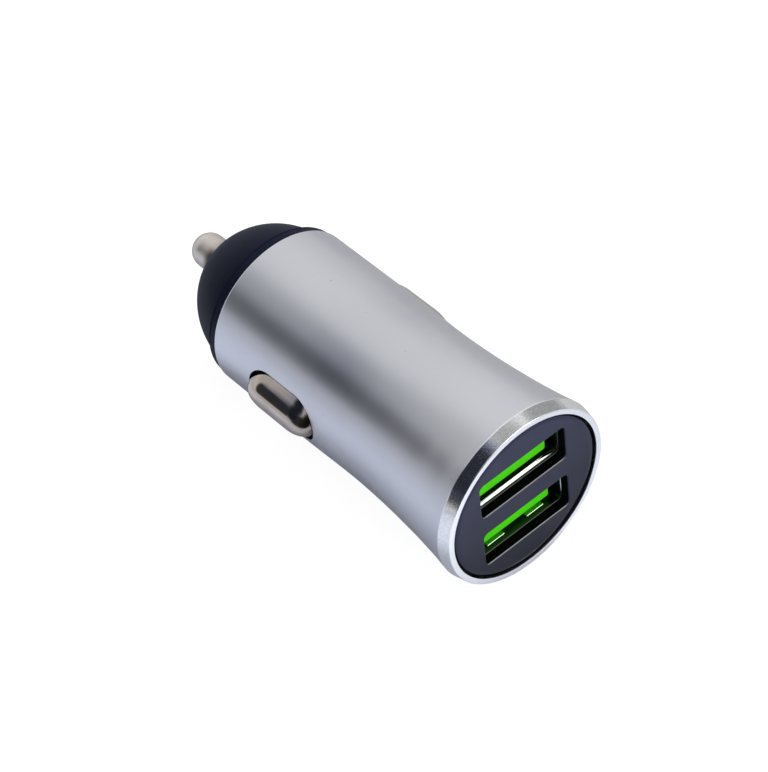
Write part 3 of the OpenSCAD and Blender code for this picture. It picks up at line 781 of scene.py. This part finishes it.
def build_tongue(name, z, material):
    """The green moulding: a tongue with soft edges, and the block behind it."""
    build = Loops()
    low, high = z - PORT_H / 2 + 0.7, z - PORT_H / 2 + 2.54
    middle = (low + high) / 2
    front = TONGUE_FRONT_Y
    soft = 0.16

    def outline(inset, y):
        width, height = 2 * TONGUE_HALF_W - 2 * inset, high - low - 2 * inset
        points = round_rect(width, height, 0.3 - min(inset, 0.2))
        return [(x, y, middle + dz) for x, dz in points]

    path = [(soft + 0.06, front)]
    for k in range(5):
        angle = math.pi / 2 * k / 4
        path.append((soft * (1 - math.sin(angle)), front + soft * (1 - math.cos(angle))))
    path += [(0.0, front + soft + 0.06), (0.0, BLOCK_FRONT_Y)]
    made = build.chain([outline(inset, y) for inset, y in path])
    build.fill(made[0])

    def block(inset, y):
        points = round_rect(PORT_W - 0.1 - 2 * inset, PORT_H - 0.1 - 2 * inset, 0.45)
        return [(x, y, z + dz) for x, dz in points]

    soft_front = BLOCK_FRONT_Y + 0.1
    back = build.chain([block(0.1, BLOCK_FRONT_Y), block(0.0, soft_front), block(0.0, PORT_BACK_Y)])
    build.fill(back[0], made[-1])
    build.fill(back[-1])
    return mesh_object(name, build.points, build.faces, [material], sharp=40.0)


# Side contacts
# How steep the crowned face is, in degrees, at a distance from its middle line
CONTACT_TILTS = (
    (0.0, 0), (0.6, 9), (0.9, 22), (1.15, 34), (1.4, 41), (1.7, 46),
    (2.0, 50), (2.25, 55), (2.5, 60), (2.7, 64), (2.95, 70), (3.14, 78),
)
# The face is worked out in slices, and has a loop at some of them, counted from its edge
CONTACT_SLICES = 124
SHOWN_SLICES = (
    1, 2, 3, 5, 7, 10, 13, 16, 20, 24, 28, 32, 36, 40, 44, 48, 52, 57, 62, 68, 74, 82, 90, 100, 112,
)


def contact_fall():
    """How far the face lies below its crown, at each slice from the middle line to the edge."""
    fall = [0.0]
    slice_w = CONTACT_HALF_W / CONTACT_SLICES
    for k in range(CONTACT_SLICES):
        place = slice_w * (k + 0.5)
        for (near, low), (far, high) in zip(CONTACT_TILTS, CONTACT_TILTS[1:]):
            if place <= far:
                break
        tilt = low + (high - low) * (place - near) / (far - near)
        fall.append(fall[-1] + math.tan(math.radians(tilt)) * slice_w)
    return fall


def build_contact(name, side, material):
    """A pressed side contact, from its flange up to the crowned face, and the hollow behind it."""
    build = Loops()
    wide = CONTACT_HALF_W

    def outline(inset, x, end_inset=None):
        """A stadium. Its round ends can be drawn in less than its long sides."""
        high = (wide - inset) / wide
        long = (CONTACT_END_W - (inset if end_inset is None else end_inset)) / wide
        moved = []
        for y, z in stadium(WINDOW_Y, WINDOW_END, wide, 24):
            middle = WINDOW_Y + (WINDOW_END if y > WINDOW_Y else -WINDOW_END)
            moved.append((side * x, middle + (y - middle) * long, z * high))
        return moved

    def end_curve(down):
        """The full, round curve of the ends, which are upright at end_depth below the crown."""
        end_depth, power = 2.3, 2.6
        share = max(1.0 - down / end_depth, 0.0)
        return wide * (1.0 - (1.0 - share ** power) ** (1 / power))

    fall = contact_fall()
    edge_x = CONTACT_REACH - fall[-1]
    path = [(0.4, FLANGE_SEAT + 0.4), (0.4, FLANGE_SEAT), (-0.9, FLANGE_SEAT)]
    path += [(-0.9, FLANGE_SEAT + 0.42), (0.0, FLANGE_SEAT + 0.5), (0.0, edge_x)]
    for k in SHOWN_SLICES:
        down = fall[CONTACT_SLICES - k]
        path.append((wide * k / CONTACT_SLICES, CONTACT_REACH - down, end_curve(down)))
    path.append((wide - 0.02, CONTACT_REACH))
    made = build.chain([outline(*place) for place in path])
    build.fill(made[-1])
    hollow_path = (
        (0.4, FLANGE_SEAT + 0.4), (0.5, 8.8), (1.0, 10.1),
        (1.35, 10.75), (1.55, 11.1), (2.5, 11.45),
    )
    hollow = build.chain([outline(inset, x) for inset, x in hollow_path])
    build.join(hollow[0], made[0])
    build.fill(hollow[-1])
    return mesh_object(name, build.points, build.faces, [material], sharp=40.0)


# Nose and tip
def dome_points(radius, middle_y, length, from_r, to_r, count):
    """Points of the dome's arc, whose centre lies beyond the axis."""
    arc = (length * length + radius * radius) / (2 * radius)
    centre = radius - arc
    points = []
    for k in range(count + 1):
        r = from_r + (to_r - from_r) * math.sin(math.pi / 2 * k / count)
        points.append((r, middle_y + math.sqrt(max(arc * arc - (r - centre) ** 2, 0.0))))
    return points


def build_nose(material):
    """The dome with the hole for the tip, the collar, the spigot and the hollow inside."""
    dome = dome_points(DOME_R, DOME_Y, DOME_LEN, TIP_HOLE_R + 0.12, DOME_R - 0.0015, 40)
    path = [(TIP_HOLE_R, 31.0), (TIP_HOLE_R, 33.0), (TIP_HOLE_R + 0.03, dome[0][1] - 0.12)] + dome
    collar = (
        (DOME_R, 24.4, 0), (DOME_R, COLLAR_END_Y, 0.18), (COLLAR_R, COLLAR_END_Y, 0.45),
        (COLLAR_R, BARREL_END_Y, 0.05), (SPIGOT_R, BARREL_END_Y, 0),
    )
    path += rounded(collar)[1:]
    path += [(SPIGOT_R, 17.3), (7.94, 17.3), (7.94, 22.6), (7.5, 26.5), (6.0, 29.4), (3.4, 30.9)]
    return turned("nose", path, material, 192)


def build_tip(material):
    """The centre contact: its round end, its shank, its flange and the peg for its spring."""
    path = []
    for k in range(17):
        angle = math.pi / 2 * k / 16
        path.append((TIP_R * math.sin(angle), TIP_BALL_Y + TIP_R * math.cos(angle)))
    path += [(TIP_R, 35.5), (TIP_R, 34.0), (TIP_R, 31.0), (2.3, 30.92), (3.24, 30.9), (3.3, 30.84)]
    path += [(3.3, 29.96), (3.24, 29.9), (1.5, 29.9), (1.5, 28.5), (1.4, 28.4), (0.0, 28.4)]
    return turned("tip", path, material, 96, closed=False)


# Springs
def build_spring(name, start, axis, length, mean_r, wire, turns):
    """A coil spring with one closed turn at each end."""
    build = Loops()
    sides = 12
    steps = 28
    closed = wire + 0.02
    rise = (length - wire - 2 * closed) / (turns - 2)
    start, axis = Vector(start), Vector(axis)
    side = Vector((0, 0, 1))
    other = axis.cross(side)
    loops = []
    for k in range(turns * steps + 1):
        turn = k / steps
        height = wire / 2 + closed * min(turn, 1) + rise * max(0, min(turn, turns - 1) - 1)
        height += closed * max(0, turn - turns + 1)
        out = side * math.cos(2 * math.pi * turn) + other * math.sin(2 * math.pi * turn)
        ring = []
        for s in range(sides):
            angle = 2 * math.pi * s / sides
            spot = start + out * (mean_r + wire / 2 * math.cos(angle))
            ring.append(tuple(spot + axis * (height + wire / 2 * math.sin(angle))))
        loops.append(ring)
    made = build.chain(loops)
    build.fill(made[0])
    build.fill(made[-1])
    return mesh_object(name, build.points, build.faces, [SPRING], sharp=60.0)


# Build everything
place_camera()

SATIN = satin_aluminium()
CUT = cut_aluminium()
RIM = metal("rim_face", (0.90, 0.90, 0.90), (0.97, 0.97, 0.97), 0.2, 900.0, 0.000002)
# Both nickels carry painted shade: at the side contacts' front ends and at the tip's base.
NICKEL = nickel("nickel", 0.07, (0.47, 0.415, 0.37), (0.54, 0.48, 0.43), contact_painted_shade)
TIP_NICKEL = nickel("tip_nickel", 0.38, (0.64, 0.59, 0.545), (0.71, 0.66, 0.61), tip_painted_shade)
FACE = face_plastic()
EDGE = moulded(
    "slot_edge", (0.03, 0.03, 0.04), (0.05, 0.05, 0.06), 0.12, 0.2, 5200.0, 0.000002,
    shine=1.0, bending=1.8,
)
# A near-black copy of the face plastic: painted shade on the slot walls and the plate's outer edge.
SHADED_SLOT = moulded(
    "slot_wall_painted_shade", (0.001, 0.001, 0.0015), (0.002, 0.002, 0.003), 0.55, 0.7, 5200.0, 0.000004,
    shine=0.04,
)
# A near-black copy of steel: painted shade inside the port shells and on the walls of the barrel's
# windows.
SHADED_INSIDE = metal("shell_inside_painted_shade", (0.05, 0.05, 0.05), (0.09, 0.09, 0.09), 0.3)
NOSE = nose_plastic()
CARRIER = moulded(
    "carrier_plastic", (0.03, 0.03, 0.035), (0.05, 0.05, 0.055), 0.45, 0.6, 3000.0, 0.00001,
)
BLACK = moulded(
    "black_package", (0.012, 0.012, 0.013), (0.022, 0.022, 0.024), 0.5, 0.65, 5000.0, 0.00001,
)
FERRITE = moulded("ferrite", (0.035, 0.035, 0.038), (0.06, 0.06, 0.063), 0.6, 0.75, 2500.0, 0.00003)
FUSE = moulded("fuse_body", (0.42, 0.42, 0.38), (0.52, 0.52, 0.47), 0.35, 0.5, 4000.0, 0.00001)
CERAMIC = moulded(
    "ceramic_body", (0.26, 0.17, 0.10), (0.34, 0.23, 0.14), 0.35, 0.5, 4000.0, 0.00001,
)
LIME = lime_plastic()
STEEL = metal("port_steel", (0.70, 0.69, 0.66), (0.80, 0.79, 0.76), 0.08)
SPRING = metal("spring_steel", (0.42, 0.43, 0.45), (0.56, 0.57, 0.59), 0.25)
BRASS = metal("brass_strip", (0.62, 0.42, 0.15), (0.74, 0.53, 0.22), 0.24)
GOLD = metal("gold_strip", (0.76, 0.52, 0.16), (0.88, 0.64, 0.26), 0.18)
CAN = metal("capacitor_can", (0.55, 0.56, 0.57), (0.70, 0.71, 0.72), 0.3)
BOARD = circuit_board()

# Each visible piece, the CAD node it replaces, its body and its slot
PIECES = [
    (build_barrel([SATIN, CUT, RIM, SHADED_INSIDE]), "barrel_shell", "body", "anodised_aluminium"),
    (build_face_plate([FACE, EDGE, SHADED_SLOT]), "face_plate", "body", "face_plastic"),
    (
        build_port_shell("upper_steel", PORT_Z, [STEEL, SHADED_INSIDE], BEAD_CREST, BEADS, False),
        "upper_port_shell", "body", "port_steel",
    ),
    (
        build_port_shell("lower_steel", -PORT_Z, [STEEL, SHADED_INSIDE], TAB_CREST, TABS, True),
        "lower_port_shell", "body", "port_steel",
    ),
    (build_tongue("upper_tongue", PORT_Z, LIME), "upper_port_insulator", "body", "lime_plastic"),
    (build_tongue("lower_tongue", -PORT_Z, LIME), "lower_port_insulator", "body", "lime_plastic"),
    (build_contact("left_side_plate", -1, NICKEL), "left_contact", "left_side_contact", "nickel"),
    (build_contact("right_side_plate", 1, NICKEL), "right_contact", "right_side_contact", "nickel"),
    (build_nose(NOSE), "nose_cap", "body", "nose_plastic"),
    (build_tip(TIP_NICKEL), "tip_contact", "tip_plunger", "nickel"),
]
for piece, node, body, slot in PIECES:
    consistent(piece)
    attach(piece, body)
    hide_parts(node)

TIP_SEAT = (0, 19.02, 0)
LEFT_SEAT = (-6.57, WINDOW_Y, 0)
RIGHT_SEAT = (6.57, WINDOW_Y, 0)
# Length, mean radius, wire, turns and travel of the springs
TIP_COIL = (10.85, 2.3, 0.5, 7, 3.0)
SIDE_COIL = (4.48, 1.4, 0.4, 5, 1.55)
# Name, CAD node, joint, fixed end, direction and sizes of each spring
SPRINGS = (
    ("tip_coil", "tip_spring", "tip_plunge", TIP_SEAT, (0, 1, 0), TIP_COIL),
    ("left_coil", "left_contact_spring", "left_contact_press", LEFT_SEAT, (-1, 0, 0), SIDE_COIL),
    ("right_coil", "right_contact_spring", "right_contact_press", RIGHT_SEAT, (1, 0, 0), SIDE_COIL),
)
for name, node, joint, start, axis, sizes in SPRINGS:
    length, mean_r, wire, turns, travel = sizes
    spring = consistent(build_spring(name, start, axis, length, mean_r, wire, turns))
    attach(spring, "body")
    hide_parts(node)
    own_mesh(spring)

CAD_MATERIALS = {
    "tip_spring_seat": BRASS, "left_ground_strap": BRASS, "right_ground_strap": BRASS,
    "contact_carrier": CARRIER, "upper_port_strips": GOLD, "lower_port_strips": GOLD,
    "port_board": BOARD, "main_board": BOARD, "power_inductor": FERRITE,
    "input_capacitor": CAN, "output_capacitor": CAN, "controller_chip": BLACK,
    "rectifier_diode": BLACK, "board_fuse": FUSE, "ceramic_capacitors": CERAMIC,
}
for node, material in CAD_MATERIALS.items():
    for place in NODES[node].material_slots:
        place.material = material


# Floor, world and lamps
def build_floor():
    """A sheet that touches the bevel and the barrel's rear end from below."""
    rest_front, rest_back = (BEVEL_Y, -BEVEL_R), (22.05, -BARREL_R)
    slope = (rest_back[1] - rest_front[1]) / (rest_back[0] - rest_front[0])
    far = 3000.0
    gap = 0.01
    corners = []
    for x, y in ((-far, -far), (far, -far), (far, far), (-far, far)):
        corners.append((x, y, rest_front[1] + (y - rest_front[0]) * slope - gap))
    material, t, where = start_material("floor_paper")
    path = t.add("ShaderNodeLightPath")
    seen = path.outputs["Is Camera Ray"]
    mirrored = t.math("MAXIMUM", path.outputs["Is Glossy Ray"], path.outputs["Is Transmission Ray"])
    paper = t.noise(where, 30.0, 2.0)
    tone = t.mix(paper, rgb(0.72, 0.76, 0.88), rgb(0.74, 0.78, 0.90))
    spot = t.place(where)
    x, y = spot["X"], spot["Y"]
    # For every ray but the camera's, painted shade greys the floor to the right and a painted shadow
    # darkens it under the barrel; glossy rays also see a painted glow ahead of the face.
    right = t.ramp(x, 0.005, 0.045)
    ahead = t.math("MULTIPLY", t.ramp(y, -0.0195, -0.023), t.ramp(x, 0.014, -0.004))
    painted_shadow_under = t.math("MULTIPLY", t.ramp(x, -0.017, -0.009), t.ramp(y, -0.016, -0.012))
    tone = t.mix(t.math("MULTIPLY", painted_shadow_under, 0.5), tone, rgb(0.05, 0.05, 0.07))
    tone = t.mix(right, tone, rgb(0.48, 0.475, 0.48))
    diffuse = t.add("ShaderNodeBsdfDiffuse", {"Color": t.mix(seen, tone, rgb(0.25, 0.25, 0.25))})
    # painted light: extra glow ahead of the face, seen only in reflections
    mirrored_glow = t.math("ADD", 0.03, t.math("MULTIPLY", ahead, 0.16))
    glow = t.math("ADD", t.math("MULTIPLY", seen, 0.89), t.math("MULTIPLY", mirrored, mirrored_glow))
    light = t.add("ShaderNodeEmission", {"Color": rgb(1, 1, 1), "Strength": glow})
    both = t.add("ShaderNodeAddShader", {0: diffuse.outputs[0], 1: light.outputs[0]})
    out = t.add("ShaderNodeOutputMaterial")
    t.tree.links.new(both.outputs[0], out.inputs["Surface"])
    floor = mesh_object("floor", corners, [(0, 1, 2, 3)], [material])


def aim(azimuth, elevation):
    """A unit vector. Azimuth 0 is straight ahead of the charger's face, and 90 is at its right."""
    a, e = math.radians(azimuth), math.radians(elevation)
    return Vector((math.sin(a) * math.cos(e), -math.cos(a) * math.cos(e), math.sin(e)))


# The studio's regions that the metal mirrors. Each is made of lobes, which are
# (azimuth, elevation, inner, outer) in degrees: full within inner and gone beyond outer.
LEFT_DARK = ((-108, 34, 12, 29), (-105, 58, 12, 30))
REAR_DARK = ((-131, 21, 10, 16),)
AHEAD_DARK = ((-88, 24, 18, 26), (-35, 22, 22, 34), (-66, 22, 18, 30))
GREY = ((88, 24, 24, 36), (60, 78, 8, 32))
REAR_GREY = ((-160, 36, 4, 24),)
WINDOW = ((34, 42, 17, 27),)
BRIGHT = ((150, 45, 15, 70),)


def region(t, direction, lobes):
    """1 inside the lobes and 0 well outside them."""
    whole = None
    for azimuth, elevation, inner, outer in lobes:
        dot = t.add(
            "ShaderNodeVectorMath", {0: direction, 1: aim(azimuth, elevation)},
            operation="DOT_PRODUCT",
        ).outputs["Value"]
        lobe = t.ramp(dot, math.cos(math.radians(outer)), math.cos(math.radians(inner)))
        whole = lobe if whole is None else t.math("MAXIMUM", whole, lobe)
    return whole


def build_world():
    """An even studio for light. Only glossy rays see its regions."""
    world = bpy.data.worlds.new("studio")
    bpy.context.scene.world = world
    world.use_nodes = True
    t = Tree(world.node_tree)
    direction = t.add("ShaderNodeTexCoord").outputs["Generated"]
    path = t.add("ShaderNodeLightPath")
    glossy = path.outputs["Is Glossy Ray"]
    clear = t.math("MAXIMUM", path.outputs["Is Camera Ray"], path.outputs["Is Transmission Ray"])
    left = region(t, direction, LEFT_DARK)
    dark = t.math("MAXIMUM", left, t.math("MULTIPLY", region(t, direction, REAR_DARK), 0.97))
    dark = t.math("MAXIMUM", dark, t.math("MULTIPLY", region(t, direction, AHEAD_DARK), 0.97))
    grey = t.math("MULTIPLY", region(t, direction, REAR_GREY), 0.5)
    grey = t.math("MAXIMUM", region(t, direction, GREY), grey)
    window = region(t, direction, WINDOW)
    bright = region(t, direction, BRIGHT)
    studio = t.math("ADD", 0.78, t.math("MULTIPLY", bright, 0.18))
    studio = t.math("MULTIPLY", studio, t.math("SUBTRACT", 1.0, t.math("MULTIPLY", dark, 0.97)))
    studio = t.math("MULTIPLY", studio, t.math("SUBTRACT", 1.0, t.math("MULTIPLY", grey, 0.6)))
    studio = t.math("ADD", studio, t.math("MULTIPLY", window, 2.0))
    strength = t.math("ADD", t.math("MULTIPLY", glossy, studio), clear)
    rest = t.math("SUBTRACT", 1.0, t.math("MAXIMUM", glossy, clear))
    strength = t.math("ADD", strength, t.math("MULTIPLY", rest, 0.45))
    tint = t.mix(t.math("MULTIPLY", left, glossy), rgb(1, 1, 1), rgb(0.72, 0.85, 1.3))
    background = t.add("ShaderNodeBackground", {"Color": tint, "Strength": strength})
    out = t.add("ShaderNodeOutputWorld")
    t.tree.links.new(background.outputs[0], out.inputs["Surface"])


def add_lamp(name, azimuth, elevation, distance, size, power):
    place = aim(azimuth, elevation) * distance
    data = bpy.data.lights.new(name, "AREA")
    data.shape = "DISK"
    data.size = size
    data.energy = power
    lamp = bpy.data.objects.new(name, data)
    lamp.location = place
    lamp.rotation_euler = (-place).to_track_quat("-Z", "Y").to_euler()
    lamp.visible_glossy = False
    bpy.context.scene.collection.objects.link(lamp)


build_floor()
build_world()
add_lamp("key", 105, 50, 0.6, 0.3, 2.6)
add_lamp("fill", -20, 20, 0.7, 0.4, 2.0)
